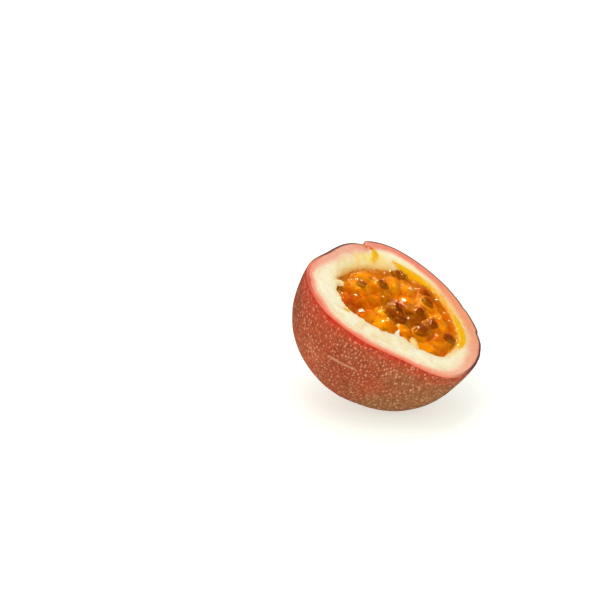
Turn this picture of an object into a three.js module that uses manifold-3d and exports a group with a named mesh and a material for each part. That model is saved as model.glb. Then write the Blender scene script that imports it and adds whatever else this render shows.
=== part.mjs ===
// Half a passion fruit, lying on its skin, with the cut face up and leaning towards +X.
// It has two solids: the rind, a thick cup, and the pulp, a heap of seed sacs that fills the cup.
//
// Millimetres, +Z up. The origin is the middle of the small flat spot that the half rests on.
// Everything is made in the cut's own frame first: x runs down the slope of the cut, y across it,
// and z straight out of it, with 0 in the middle of the cut. One turned group then sets it down.
// Angles round the cut are in degrees, from x towards y, so 0 is the low side of the cut.

import * as THREE from 'three';
import { mergeVertices } from 'three/addons/utils/BufferGeometryUtils.js';
import Module from 'manifold-3d';

const wasm = await Module();
wasm.setup();

// ---- Driving dimensions ----

const CUT_TILT = 30; // degrees that the cut leans from level
const REST_SAG = 0.9; // how far the rounded skin is flattened where it rests
const GAP = 0.3; // clearance between the pulp and the rind

// The skin. The fruit was a little three-sided, so the cut is not round.
const RIM_RADII = [26.8, 26.2, 25.3, 26.3, 27.9, 26.0, 24.4, 27.7, 28.3, 25.8, 24.4, 27.9];
const MEAN_RADIUS = 26.5; // of the round end that the skin fades to
const DOME_DEPTH = 31.5; // from the cut to the end of the fruit
const DOME_BELLY = 0.028; // how much the sides swell, as a share of the radius
const DOME_LEAN = { x: -0.8, y: 1.26 }; // the end of the fruit is off the middle of the cut
const SCAR = { radius: 2.6, depth: 0.8 }; // the dimple at the end of the fruit

// The hollow in the white pith, where the pulp lies.
const HOLLOW_RADII = [
  19.6, 19.7, 18.8, 19.0, 19.8, 20.6, 20.8, 20.4, 20.0,
  19.6, 19.4, 19.2, 18.8, 16.7, 15.2, 13.5, 16.5, 19.9,
];
const HOLLOW_DEPTH = 25.5;
const HOLLOW_FULLNESS = 0.8; // under 1 makes the bowl's sides steeper than a sphere's
const SHOULDER = { most: 3.6, least: 0.6, middle: 150, depth: 1.3 }; // the pith's slope at the edge
const EDGE_ROUND = 0.5; // how far the cut drops at the hollow's edge

// The cut was made in two strokes. They meet in a step at the rim, which is torn there.
const TEAR = { angle: 140, drop: 1.1, sink: 0.6, reach: 13, reachIn: 5, fade: 12 };

// Stubs of pith that the seed sacs hung from, on the hollow's edge.
const STUBS = [
  { angle: -62, tip: 11.2, length: 6.0, width: 2.4, top: 0.1 },
  { angle: -41, tip: 12.0, length: 6.4, width: 2.6, top: 0.1 },
  { angle: -152, tip: 16.2, length: 5.6, width: 2.2, top: 0.2 },
];

// The pulp. Each sac of jelly holds one flat seed.
const PULP_LEVEL = 3.2; // depth of the jelly between the sacs, below the cut
const PULP_WAVE = { height: 0.35, x: 2.3, y: 2.7 }; // waves of the jelly, and their lengths over 2 pi
const PULP_BANK = { height: 2.8, angle: 52, spread: 62, foot: 12.5, crest: 18 }; // it climbs the wall here
const PULP_REACH = 20; // radius within which sacs may lie
const SAC = { length: 9.0, width: 6.4, height: 5.4 };
const SEED = { length: 5.0, width: 3.4, height: 2.1 };
const SAC_SPACING = 4.3; // least distance between the middles of two sacs
const SAC_SIZES = { least: 0.88, most: 1.12 };
const SAC_TOP = { high: 0.9, low: 2.3 }; // depth of the sacs' tops below the cut, if not given below
const SAC_DIP = 12; // most that a sac's long side slopes, in degrees
const SAC_STRAY = 35; // most that a sac points past the wall it hangs from, in degrees
const WALL_ROOM = 1.6; // from a sac's middle to the wall, at least
const SEED_SHOWS = 0.35; // how far the seeds nearest the top stand out of their sacs
const SEED_TOP_SHARE = 0.3; // those sacs lie within this share of the range of depths
const SAC_TRIES = 900;
const FIRST_STATE = 20011;

// The seeds that lie at the top: place on the cut, and the way the long side points.
const TOP_SEEDS = [
  { x: -6.6, y: 15.6, turn: 15 },
  { x: -11.3, y: -0.9, turn: -35 },
  { x: -7.4, y: 6.4, turn: 50 },
  { x: 2.6, y: 16.6, turn: 10 },
  { x: 4.9, y: 13.8, turn: 0 },
  { x: 5.3, y: 7.6, turn: 80 },
  { x: 0.4, y: 1.2, turn: 130 },
  { x: 3.4, y: -2.8, turn: 40 },
  { x: -0.2, y: -4.0, turn: 10 },
  { x: 10.4, y: 5.8, turn: 100 },
  { x: 9.6, y: -1.0, turn: 70 },
  { x: 16.4, y: 4.8, turn: 35 },
];

// Other sacs that show: place on the cut, the way the long side points, size and depth of the top.
const SHOWN_SACS = [
  { x: 1.4, y: -9.6, turn: 31, size: 1.0, top: 0.0 },
  { x: 6.3, y: -6.2, turn: -21, size: 0.65, top: 0.3 },
  { x: 14.3, y: -5.8, turn: 33, size: 1.0, top: 0.6 },
  { x: -3.5, y: -11.3, turn: 41, size: 0.85, top: 0.4 },
  { x: -8.1, y: -7.3, turn: 29, size: 0.75, top: 0.8 },
  { x: -11.4, y: -11.0, turn: -29, size: 0.9, top: 0.9 },
  { x: -6.9, y: -2.0, turn: 41, size: 0.75, top: 1.5 },
  { x: -12.8, y: 4.4, turn: 62, size: 1.05, top: 1.2 },
  { x: -11.4, y: 8.6, turn: 18, size: 0.85, top: 1.5 },
  { x: -5.6, y: 10.5, turn: -56, size: 0.9, top: 1.0 },
  { x: -1.7, y: 13.6, turn: -7, size: 0.8, top: 1.2 },
  { x: 2.1, y: 4.9, turn: -32, size: 0.85, top: 1.6 },
  { x: 8.2, y: 15.6, turn: 0, size: 0.85, top: 0.8 },
  { x: 13.0, y: 8.9, turn: -19, size: 0.85, top: 0.8 },
  { x: 10.8, y: 13.2, turn: -40, size: 0.75, top: 0.9 },
];

// How finely the surfaces are divided.
const SECTORS = 72;
const DOME_RINGS = 14;
const CUT_RINGS = 3;
const HOLLOW_RINGS = 11;
const HOLLOW_CROWDING = 1.6; // over 1 sets the rings closer together near the hollow's edge
const SAC_DETAIL = 2;
const SEED_DETAIL = 1;
const STUB_DETAIL = 1;

// ---- Small helpers ----

const radians = THREE.MathUtils.degToRad;
const range = (count) => Array.from({ length: count }, (_, i) => i);

// A smooth closed outline through radii that are evenly spaced round the circle.
function outline(radii, angle) {
  const turns = THREE.MathUtils.euclideanModulo(angle / 360, 1) * radii.length;
  const first = Math.floor(turns);
  const f = turns - first;
  const [a, b, c, d] = [-1, 0, 1, 2].map((k) => radii[(first + k + radii.length) % radii.length]);
  const bend = 2 * a - 5 * b + 4 * c - d;
  const twist = 3 * b - a - 3 * c + d;
  return 0.5 * (2 * b + (c - a) * f + bend * f ** 2 + twist * f ** 3);
}

// The signed difference of two angles, from -180 to 180 degrees.
const between = (angle, from) => THREE.MathUtils.euclideanModulo(angle - from + 180, 360) - 180;

// 1 just past the tear, fading with the angle, and 0 before it.
function tearShare(angle) {
  const past = between(angle, TEAR.angle);
  return past < 0 ? 0 : Math.exp(-past / TEAR.reach);
}

// ---- Surfaces, in the cut's frame ----

// Radius of the skin at the cut, less what the tear takes off.
const rimRadius = (angle) => outline(RIM_RADII, angle) - TEAR.drop * tearShare(angle);

// Height of the cut face, which sinks a little past the tear.
function cutHeight(angle, distanceFromRim) {
  return -TEAR.sink * tearShare(angle) * Math.exp(-distanceFromRim / TEAR.reachIn);
}

// The skin: fall is 0 at the end of the fruit and 90 degrees at the cut.
function skinPoint(angle, fall) {
  const a = radians(angle);
  const t = radians(fall);
  const rimShare = Math.sin(t) ** 2;
  const edgeShare = Math.sin(t) ** TEAR.fade;
  const radius = outline(RIM_RADII, angle) * rimShare + MEAN_RADIUS * (1 - rimShare)
    - TEAR.drop * tearShare(angle) * edgeShare;
  const out = radius * (Math.sin(t) + DOME_BELLY * Math.sin(2 * t) ** 2);
  const dimple = SCAR.depth * Math.exp(-((out / SCAR.radius) ** 2));
  return new THREE.Vector3(
    out * Math.cos(a) + DOME_LEAN.x * Math.cos(t),
    out * Math.sin(a) + DOME_LEAN.y * Math.cos(t),
    dimple - DOME_DEPTH * Math.cos(t) + cutHeight(angle, 0) * edgeShare,
  );
}

// The cut face, from the rim at share 0 to the edge of the hollow at share 1.
function cutPoint(angle, share) {
  const a = radians(angle);
  const outer = rimRadius(angle);
  const radius = THREE.MathUtils.lerp(outer, outline(HOLLOW_RADII, angle), share);
  const height = cutHeight(angle, outer - radius) - EDGE_ROUND * share ** 4;
  return new THREE.Vector3(radius * Math.cos(a), radius * Math.sin(a), height);
}

// How far the pith slopes in at the hollow's edge: most on the high side.
function shoulderWidth(angle) {
  const share = (1 + Math.cos(radians(between(angle, SHOULDER.middle)))) / 2;
  return THREE.MathUtils.lerp(SHOULDER.least, SHOULDER.most, share ** 3);
}

// The hollow: fall is 90 degrees at its edge and 0 at its lowest point.
// inset moves the surface inwards, for what lies in the hollow.
function hollowPoint(angle, fall, inset = 0) {
  const a = radians(angle);
  const t = radians(fall);
  const depth = EDGE_ROUND + (HOLLOW_DEPTH - EDGE_ROUND) * Math.cos(t);
  const slope = shoulderWidth(angle) * (1 - Math.exp((EDGE_ROUND - depth) / SHOULDER.depth));
  const open = outline(HOLLOW_RADII, angle) - slope;
  const radius = Math.max(0, open * Math.sin(t) ** HOLLOW_FULLNESS - inset);
  return new THREE.Vector3(
    radius * Math.cos(a) + DOME_LEAN.x * Math.cos(t),
    radius * Math.sin(a) + DOME_LEAN.y * Math.cos(t),
    inset * Math.cos(t) - depth,
  );
}

// The jelly between the sacs, which climbs the wall of the hollow on one side.
function pulpHeight(x, y) {
  const aside = between(THREE.MathUtils.radToDeg(Math.atan2(y, x)), PULP_BANK.angle) / PULP_BANK.spread;
  const climb = THREE.MathUtils.smoothstep(Math.hypot(x, y), PULP_BANK.foot, PULP_BANK.crest);
  const wave = PULP_WAVE.height * Math.sin(x / PULP_WAVE.x + 1) * Math.cos(y / PULP_WAVE.y);
  return wave + PULP_BANK.height * climb * Math.exp(-(aside ** 2)) - PULP_LEVEL;
}

// ---- Solids ----

// A closed surface through rings of points: point(angle, ring) for each ring in turn.
// A lathe gives the net of triangles, and every vertex is then moved to its own place.
function ringSolid(ringCount, point) {
  const profile = range(ringCount).map((ring) => new THREE.Vector2(1, -ring));
  const net = new THREE.LatheGeometry(profile, SECTORS);
  net.deleteAttribute('normal');
  net.deleteAttribute('uv');
  const position = net.getAttribute('position');
  for (const sector of range(SECTORS + 1)) {
    for (const ring of range(ringCount)) {
      const angle = (360 * (sector % SECTORS)) / SECTORS;
      position.setXYZ(sector * ringCount + ring, ...point(angle, ring).toArray());
    }
  }
  return solid(net);
}

// A closed three.js geometry as a solid that can be joined and cut.
function solid(geometry) {
  const shape = geometry.clone();
  shape.deleteAttribute('normal');
  shape.deleteAttribute('uv');
  const merged = mergeVertices(shape, 1e-4);
  const corners = merged.index.array;
  const kept = [];
  for (let i = 0; i < corners.length; i += 3) {
    const [a, b, c] = corners.slice(i, i + 3);
    if (a !== b && b !== c && c !== a) kept.push(a, b, c);
  }
  return new wasm.Manifold(new wasm.Mesh({
    numProp: 3,
    vertProperties: new Float32Array(merged.getAttribute('position').array),
    triVerts: new Uint32Array(kept),
  }));
}

// A solid back as a three.js geometry.
function geometryOf(shape) {
  const { vertProperties, triVerts } = shape.getMesh();
  const geometry = new THREE.BufferGeometry();
  geometry.setAttribute('position', new THREE.BufferAttribute(vertProperties, 3));
  geometry.setIndex(new THREE.BufferAttribute(triVerts, 1));
  geometry.computeVertexNormals();
  return geometry;
}

// The skin, the cut face and the hollow, as one cup.
function cup() {
  const ringCount = DOME_RINGS + CUT_RINGS + HOLLOW_RINGS + 1;
  return ringSolid(ringCount, (angle, ring) => {
    if (ring <= DOME_RINGS) return skinPoint(angle, (90 * ring) / DOME_RINGS);
    const onCut = ring - DOME_RINGS;
    if (onCut <= CUT_RINGS) return cutPoint(angle, onCut / CUT_RINGS);
    return hollowPoint(angle, hollowFall(onCut - CUT_RINGS));
  });
}

const hollowFall = (ring) => 90 * (1 - (ring / HOLLOW_RINGS) ** HOLLOW_CROWDING);

// The space that the pulp may fill: the hollow less the gap, carried on above the cut.
function room() {
  const lid = 3; // height above the cut, over all that stands out
  return ringSolid(HOLLOW_RINGS + 3, (angle, ring) => {
    if (ring <= HOLLOW_RINGS) return hollowPoint(angle, hollowFall(HOLLOW_RINGS - ring), GAP);
    if (ring === HOLLOW_RINGS + 1) return hollowPoint(angle, 90, GAP).setZ(lid);
    return new THREE.Vector3(0, 0, lid);
  }).subtract(stubs(GAP));
}

// The stubs of pith, each a blunt ellipsoid that points to the middle of the hollow.
function stubs(grow = 0) {
  return union(STUBS.map((stub) => {
    const half = new THREE.Vector3(stub.length, stub.width, stub.width).divideScalar(2);
    const a = radians(stub.angle);
    const radius = stub.tip + half.x;
    const place = new THREE.Vector3(radius * Math.cos(a), radius * Math.sin(a), -stub.top - half.z);
    return solid(ellipsoid(half.addScalar(grow), place, stub.angle, 0, STUB_DETAIL));
  }));
}

// An ellipsoid of the given half sizes: its long side points along turn and dips by dip degrees.
function ellipsoid(half, place, turn, dip, detail) {
  const geometry = new THREE.IcosahedronGeometry(1, detail);
  geometry.scale(half.x, half.y, half.z);
  geometry.rotateY(radians(dip));
  geometry.rotateZ(radians(turn));
  geometry.translate(place.x, place.y, place.z);
  return geometry;
}

const union = (shapes) => shapes.reduce((joined, shape) => joined.add(shape));

// ---- Where the sacs lie ----

// Repeatable draws from 0 to 1.
function drawer(state) {
  return () => {
    state = (1664525 * state + 1013904223) % 4294967296;
    return state / 4294967296;
  };
}

// The sacs: first the ones whose seeds lie at the top, then the others that show, and then more
// wherever there is room. Those point inwards from the wall that they hang from, more or less.
function layOutSacs() {
  const draw = drawer(FIRST_STATE);
  const sacs = TOP_SEEDS.map((seed) => sacAt(seed.x, seed.y, seed.turn, true, draw));
  sacs.push(...SHOWN_SACS.map((sac) => ({ ...sac, dip: 0, seedOnTop: false })));
  for (const _ of range(SAC_TRIES)) {
    const angle = 360 * draw();
    const radius = PULP_REACH * Math.sqrt(draw());
    const x = radius * Math.cos(radians(angle));
    const y = radius * Math.sin(radians(angle));
    const wall = outline(HOLLOW_RADII, angle) - shoulderWidth(angle);
    const free = sacs.every((sac) => Math.hypot(sac.x - x, sac.y - y) > SAC_SPACING);
    if (radius < wall - WALL_ROOM && free) {
      const turn = angle + SAC_STRAY * (2 * draw() - 1);
      sacs.push(sacAt(x, y, turn, false, draw));
    }
  }
  return sacs;
}

function sacAt(x, y, turn, seedOnTop, draw) {
  const size = THREE.MathUtils.lerp(SAC_SIZES.least, SAC_SIZES.most, draw());
  const dip = SAC_DIP * (2 * draw() - 1);
  const sunk = seedOnTop ? SEED_TOP_SHARE * draw() : draw();
  const top = THREE.MathUtils.lerp(SAC_TOP.high, SAC_TOP.low, sunk);
  return { x, y, turn, dip, size, top, seedOnTop };
}

function sacSolid(sac) {
  const half = new THREE.Vector3(SAC.length, SAC.width, SAC.height).multiplyScalar(sac.size / 2);
  const place = new THREE.Vector3(sac.x, sac.y, -sac.top - half.z);
  return solid(ellipsoid(half, place, sac.turn, sac.dip, SAC_DETAIL));
}

function seedSolid(sac) {
  const half = new THREE.Vector3(SEED.length, SEED.width, SEED.height).multiplyScalar(sac.size / 2);
  const place = new THREE.Vector3(sac.x, sac.y, SEED_SHOWS - sac.top - half.z);
  return solid(ellipsoid(half, place, sac.turn, sac.dip, SEED_DETAIL));
}

// The jelly: a slab with a wavy top, larger than the hollow all round.
function jelly() {
  const size = 2.2 * Math.max(...HOLLOW_RADII);
  const steps = 16;
  const slab = new THREE.BoxGeometry(size, size, DOME_DEPTH, steps, steps, 1);
  const position = slab.getAttribute('position');
  for (const i of range(position.count)) {
    const [x, y, z] = [position.getX(i), position.getY(i), position.getZ(i)];
    position.setZ(i, z > 0 ? pulpHeight(x, y) : -DOME_DEPTH);
  }
  return solid(slab);
}

// ---- Setting the half down ----

const turned = new THREE.Matrix4().makeRotationY(radians(CUT_TILT));

// The lowest point of the skin once the cut leans.
function lowestPoint() {
  let lowest = null;
  for (const angle of range(360)) {
    for (const step of range(361)) {
      const fall = step / 4; // quarter degrees
      const point = skinPoint(angle, fall).applyMatrix4(turned);
      if (!lowest || point.z < lowest.z) lowest = point;
    }
  }
  return lowest;
}

const lowest = lowestPoint();
const rest = new THREE.Vector3(lowest.x, lowest.y, lowest.z + REST_SAG);
const tilted = new THREE.Group();
tilted.rotation.y = radians(CUT_TILT);
tilted.position.copy(rest).negate();
tilted.updateMatrix();

// What lies below the table, seen from the cut's frame.
function belowTable() {
  const size = 3 * MEAN_RADIUS; // wider than the half all round
  const slab = new THREE.BoxGeometry(size, size, size);
  slab.translate(0, 0, -size / 2);
  slab.applyMatrix4(tilted.matrix.clone().invert());
  return solid(slab);
}

// ---- Sub-parts ----

function rindShell() {
  const shape = cup().add(stubs()).subtract(belowTable());
  const material = new THREE.MeshStandardMaterial({ color: 0x9c4636, roughness: 0.55, metalness: 0 });
  const mesh = new THREE.Mesh(geometryOf(shape), material);
  mesh.name = 'rind_shell';
  return mesh;
}

function pulpWithSeeds() {
  const sacs = layOutSacs();
  const heap = union([...sacs.map(sacSolid), ...sacs.filter((sac) => sac.seedOnTop).map(seedSolid)]);
  const shape = jelly().add(heap).intersect(room());
  const material = new THREE.MeshStandardMaterial({ color: 0xe87e0c, roughness: 0.2, metalness: 0 });
  const mesh = new THREE.Mesh(geometryOf(shape), material);
  mesh.name = 'pulp_with_seeds';
  return mesh;
}

tilted.add(rindShell(), pulpWithSeeds());

const group = new THREE.Group();
group.add(tilted);

export default group;
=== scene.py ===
"""Half a passion fruit, lying on its skin with the cut face up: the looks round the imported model.

Everything is made in the cut's own frame, in millimetres: x runs down the slope of the cut,
y across it and z straight out of it, with 0 in the middle of the cut. to_part() sets it down
in the part's frame, in metres. Angles are in degrees, from x towards y.
"""
import itertools
import math

import bpy
import numpy as np
from mathutils import Matrix, Vector


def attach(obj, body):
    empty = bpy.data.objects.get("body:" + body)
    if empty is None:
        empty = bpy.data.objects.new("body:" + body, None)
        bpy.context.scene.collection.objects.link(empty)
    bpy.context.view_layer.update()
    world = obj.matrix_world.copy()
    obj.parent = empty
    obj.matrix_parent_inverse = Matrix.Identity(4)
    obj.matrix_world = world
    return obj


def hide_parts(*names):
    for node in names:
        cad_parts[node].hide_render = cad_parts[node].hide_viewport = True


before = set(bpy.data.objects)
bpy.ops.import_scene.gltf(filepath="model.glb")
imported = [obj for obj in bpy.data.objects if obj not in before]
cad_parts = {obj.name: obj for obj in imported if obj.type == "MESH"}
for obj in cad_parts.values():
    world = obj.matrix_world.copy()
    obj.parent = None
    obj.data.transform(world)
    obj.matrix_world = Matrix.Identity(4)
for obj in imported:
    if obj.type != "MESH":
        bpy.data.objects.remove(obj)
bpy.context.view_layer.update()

MM = 0.001

# ---- The solids' own dimensions, as the model has them ----

CUT_TILT = 30
REST_SAG = 0.9
REST_EDGE = 0.08

RIM_RADII = [26.8, 26.2, 25.3, 26.3, 27.9, 26.0, 24.4, 27.7, 28.3, 25.8, 24.4, 27.9]
MEAN_RADIUS = 26.5
DOME_DEPTH = 31.5
DOME_BELLY = 0.028
DOME_LEAN = (-0.8, 1.26)
SCAR_RADIUS = 2.6
SCAR_DEPTH = 0.8

HOLLOW_RADII = [
    19.6, 19.7, 18.8, 19.0, 19.8, 20.6, 20.8, 20.4, 20.0,
    19.6, 19.4, 19.2, 18.8, 16.7, 15.2, 13.5, 16.5, 19.9,
]
HOLLOW_DEPTH = 25.5
HOLLOW_FULLNESS = 0.8
SHOULDER_MOST = 3.6
SHOULDER_LEAST = 0.6
SHOULDER_MIDDLE = 150
SHOULDER_DEPTH = 1.3
EDGE_ROUND = 0.5

TEAR_ANGLE = 140
TEAR_DROP = 1.1
TEAR_SINK = 0.6
TEAR_REACH = 13
TEAR_REACH_IN = 5
TEAR_FADE = 12

PULP_LEVEL = 3.2
BANK_HEIGHT = 2.8
BANK_ANGLE = 52
BANK_SPREAD = 62
BANK_FOOT = 12.5
BANK_CREST = 18
PULP_REACH = 20
SAC = np.array([9.0, 6.4, 5.4])
SEED = np.array([5.0, 3.4, 2.1])
SAC_SPACING = 4.3
SAC_SIZES = (0.88, 1.12)
SAC_TOP = (0.9, 2.3)
SAC_DIP = 12
SAC_STRAY = 35
WALL_ROOM = 1.6
SEED_SHOWS = 0.35
SEED_TOP_SHARE = 0.3
SAC_TRIES = 900
FIRST_STATE = 20011

# Seeds that lie at the top: x, y and the way the long side points. The last value, which is for
# the looks alone, is how far the seed is sunk in its jelly. Below 0 it stands out with it.
TOP_SEEDS = [
    (-6.6, 15.6, 15, -0.35), (-11.3, -0.9, -35, 0.10), (-7.4, 6.4, 50, 0.20),
    (2.6, 16.6, 10, 0.20), (4.9, 13.8, 0, 0.30), (5.3, 7.6, 80, 0.60),
    (0.4, 1.2, 130, 0.50), (3.4, -2.8, 40, 0.05), (-0.2, -4.0, 10, 0.45),
    (10.4, 5.8, 100, 0.25), (9.6, -1.0, 70, 0.10), (16.4, 4.8, 35, -0.10),
]

# Other sacs that show: x, y, turn, size and depth of the top.
SHOWN_SACS = [
    (1.4, -9.6, 31, 1.0, 0.0), (6.3, -6.2, -21, 0.65, 0.3), (14.3, -5.8, 33, 1.0, 0.6),
    (-3.5, -11.3, 41, 0.85, 0.4), (-8.1, -7.3, 29, 0.75, 0.8), (-11.4, -11.0, -29, 0.9, 0.9),
    (-6.9, -2.0, 41, 0.75, 1.5), (-12.8, 4.4, 62, 1.05, 1.2), (-11.4, 8.6, 18, 0.85, 1.5),
    (-5.6, 10.5, -56, 0.9, 1.0), (-1.7, 13.6, -7, 0.8, 1.2), (2.1, 4.9, -32, 0.85, 1.6),
    (8.2, 15.6, 0, 0.85, 0.8), (13.0, 8.9, -19, 0.85, 0.8), (10.8, 13.2, -40, 0.75, 0.9),
]

# ---- Numbers ----


def outline(radii, angle):
    """A smooth closed outline through radii that are evenly spaced round the circle."""
    radii = np.asarray(radii, float)
    turns = np.mod(np.asarray(angle, float) / 360, 1) * len(radii)
    first = np.floor(turns).astype(int)
    f = turns - first
    a, b, c, d = (radii[(first + k) % len(radii)] for k in (-1, 0, 1, 2))
    bend = 2 * a - 5 * b + 4 * c - d
    twist = 3 * b - a - 3 * c + d
    return 0.5 * (2 * b + (c - a) * f + bend * f**2 + twist * f**3)


def between(angle, start):
    """The signed difference of two angles, from -180 to 180 degrees."""
    return np.mod(angle - start + 180, 360) - 180


def smooth(value, low, high):
    """0 up to low, 1 from high on, and a soft step between."""
    t = np.clip((value - low) / (high - low), 0, 1)
    return t * t * (3 - 2 * t)


def near(angle, middle, width):
    """1 at the middle angle, fading to 0 with the distance from it."""
    return np.exp(-((between(angle, middle) / width) ** 2))


def lattice(ix, iy, iz, seed):
    """A repeatable value from -1 to 1 for each point of a grid."""
    key = (ix * 374761393 + iy * 668265263 + iz * 2246822519 + seed * 3266489917) & 0xFFFFFFFF
    key = ((key ^ (key >> 13)) * 1274126177) & 0xFFFFFFFF
    key = key ^ (key >> 16)
    return key / 0x7FFFFFFF - 1


def lumps(points, size, seed):
    """Smooth noise from -1 to 1 whose lumps are about size across. seed tells one from another."""
    p = np.asarray(points, float) / size
    base = np.floor(p).astype(np.int64)
    f = p - base
    f = f * f * f * (f * (6 * f - 15) + 10)
    total = 0
    for corner in itertools.product((0, 1), repeat=3):
        share = np.prod([f[..., k] if corner[k] else 1 - f[..., k] for k in range(3)], axis=0)
        total += share * lattice(*(base[..., k] + corner[k] for k in range(3)), seed)
    return total


def patches(points, size, seed, low, high):
    """Patches of 1 among 0, where noise passes from low to high."""
    return smooth(lumps(points, size, seed), low, high)


def at(x, y, z=0.0):
    """Points from their coordinates."""
    return np.stack(np.broadcast_arrays(x, y, z), axis=-1)


def all_round(count):
    """Evenly spaced angles, once round."""
    return np.arange(count) * 360.0 / count


def circled(radius, angle, z=0.0):
    """Points from a radius, an angle and a height."""
    a = np.radians(angle)
    return at(radius * np.cos(a), radius * np.sin(a), z)


def angle_at(x, y):
    return np.degrees(np.arctan2(y, x))


def seen_from(centre_x, centre_y, turn, x, y):
    """How far places lie along and across the direction turn, from a centre."""
    a = math.radians(turn)
    aside_x, aside_y = x - centre_x, y - centre_y
    along = aside_x * math.cos(a) + aside_y * math.sin(a)
    return along, aside_y * math.cos(a) - aside_x * math.sin(a)


def drawer(state):
    """Repeatable draws from 0 to 1."""
    def draw():
        nonlocal state
        state = (1664525 * state + 1013904223) % 4294967296
        return state / 4294967296
    return draw


def linear(red, green, blue):
    """A colour as it shows on a screen, 0 to 255, in the linear values that shaders take."""
    c = np.array([red, green, blue], float) / 255
    return np.where(c <= 0.04045, c / 12.92, ((c + 0.055) / 1.055) ** 2.4)


def mix(a, b, share):
    """From a to b by share, for points or colours."""
    return a + (b - a) * np.asarray(share)[..., None]


def coated(colour, *coats):
    """A linear colour under others, 0 to 255, each with the share of it that shows."""
    for coat, share in coats:
        colour = mix(colour, linear(*coat), share)
    return colour


# ---- Surfaces, in the cut's frame ----


def tear_share(angle):
    past = between(angle, TEAR_ANGLE)
    return np.where(past < 0, 0, np.exp(-np.maximum(past, 0) / TEAR_REACH))


def cut_height(angle, from_rim):
    return -TEAR_SINK * tear_share(angle) * np.exp(-from_rim / TEAR_REACH_IN)


def leaning(radius, angle, t, height):
    """Points round the fruit's axis, which leans more the nearer they are to the fruit's end."""
    return circled(radius, angle, height) + np.cos(t)[..., None] * np.array([*DOME_LEAN, 0])


def skin_point(angle, fall):
    """The skin: fall is 0 at the end of the fruit and 90 degrees at the cut."""
    t = np.radians(fall)
    rim_share = np.sin(t) ** 2
    edge_share = np.sin(t) ** TEAR_FADE
    radius = outline(RIM_RADII, angle) * rim_share + MEAN_RADIUS * (1 - rim_share)
    radius = radius - TEAR_DROP * tear_share(angle) * edge_share
    out = radius * (np.sin(t) + DOME_BELLY * np.sin(2 * t) ** 2)
    dimple = SCAR_DEPTH * np.exp(-((out / SCAR_RADIUS) ** 2))
    height = dimple - DOME_DEPTH * np.cos(t) + cut_height(angle, 0) * edge_share
    return leaning(out, angle, t, height)


def shoulder_width(angle):
    share = (1 + np.cos(np.radians(between(angle, SHOULDER_MIDDLE)))) / 2
    return SHOULDER_LEAST + (SHOULDER_MOST - SHOULDER_LEAST) * share**3


def hollow_point(angle, fall, inset=0.0):
    """The hollow: fall is 90 degrees at its edge and 0 at its lowest point."""
    t = np.radians(fall)
    depth = EDGE_ROUND + (HOLLOW_DEPTH - EDGE_ROUND) * np.cos(t)
    slope = shoulder_width(angle) * (1 - np.exp((EDGE_ROUND - depth) / SHOULDER_DEPTH))
    reach = outline(HOLLOW_RADII, angle) - slope
    radius = np.maximum(0, reach * np.sin(t) ** HOLLOW_FULLNESS - inset)
    return leaning(radius, angle, t, inset * np.cos(t) - depth)


TILT = math.radians(CUT_TILT)
TURN = np.array([
    [math.cos(TILT), 0, math.sin(TILT)],
    [0, 1, 0],
    [-math.sin(TILT), 0, math.cos(TILT)],
])


def resting_point():
    """The lowest point of the skin once the cut leans, raised by the sag: the part's origin."""
    angles, falls = np.meshgrid(np.arange(360.0), np.arange(361) / 4)
    points = skin_point(angles, falls).reshape(-1, 3) @ TURN.T
    lowest = points[points[:, 2].argmin()]
    return lowest + np.array([0, 0, REST_SAG])


REST = resting_point()


def to_part(points):
    """From the cut's frame in millimetres to the part's frame in metres."""
    return (np.asarray(points) @ TURN.T - REST) * MM


def above_table(points):
    """Points in the cut's frame, with what would lie below the table pressed flat on it."""
    part = points @ TURN.T - REST
    height = part[..., 2]
    pressed = REST_EDGE * np.logaddexp(0, height / REST_EDGE)
    part[..., 2] = np.where(height < 4 * REST_EDGE, pressed, height)
    return (part + REST) @ TURN


# ---- Meshes ----


def placed(name, data):
    piece = bpy.data.objects.new(name, data)
    bpy.context.scene.collection.objects.link(piece)
    return piece


def mesh_object(name, points, faces, materials, face_slots=None, **layers):
    """A new object. layers are values or colours of its points, for its material to read."""
    mesh = bpy.data.meshes.new(name)
    mesh.from_pydata(to_part(points).tolist(), [], faces)
    for material in materials:
        mesh.materials.append(material)
    if face_slots is not None:
        mesh.polygons.foreach_set("material_index", np.asarray(face_slots, np.int32))
    mesh.shade_smooth()
    mesh.validate()
    for layer, values in layers.items():
        paint(mesh, layer, values)
    return placed(name, mesh)


def paint(mesh, name, values):
    """Stores a value or a colour for each point of the mesh."""
    values = np.asarray(values, np.float32)
    if values.ndim == 1:
        layer = mesh.attributes.new(name, "FLOAT", "POINT")
        layer.data.foreach_set("value", values)
    else:
        layer = mesh.attributes.new(name, "FLOAT_COLOR", "POINT")
        alpha = np.ones((len(values), 1), np.float32)
        layer.data.foreach_set("color", np.hstack([values, alpha]).ravel())


def closed_rings(rings):
    """Points and faces of a closed surface, from rows of points. The first and the last row
    are each drawn together into one point."""
    rows, sectors = rings.shape[:2]
    inner = rings[1:-1].reshape(-1, 3)
    points = np.vstack([rings[0].mean(0), inner, rings[-1].mean(0)])
    last = len(points) - 1
    faces = []
    for s in range(sectors):
        after = (s + 1) % sectors
        faces.append((0, 1 + after, 1 + s))
        for r in range(rows - 3):
            a, b = 1 + r * sectors + s, 1 + r * sectors + after
            faces.append((a, b, b + sectors, a + sectors))
        top = 1 + (rows - 3) * sectors
        faces.append((last, top + s, top + after))
    return points, faces


def row_values(values):
    """Values of the rows that closed_rings was given, one for each of its points."""
    inner = values[1:-1].reshape(-1, *values.shape[2:])
    return np.concatenate([values[0][:1], inner, values[-1][:1]])


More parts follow.
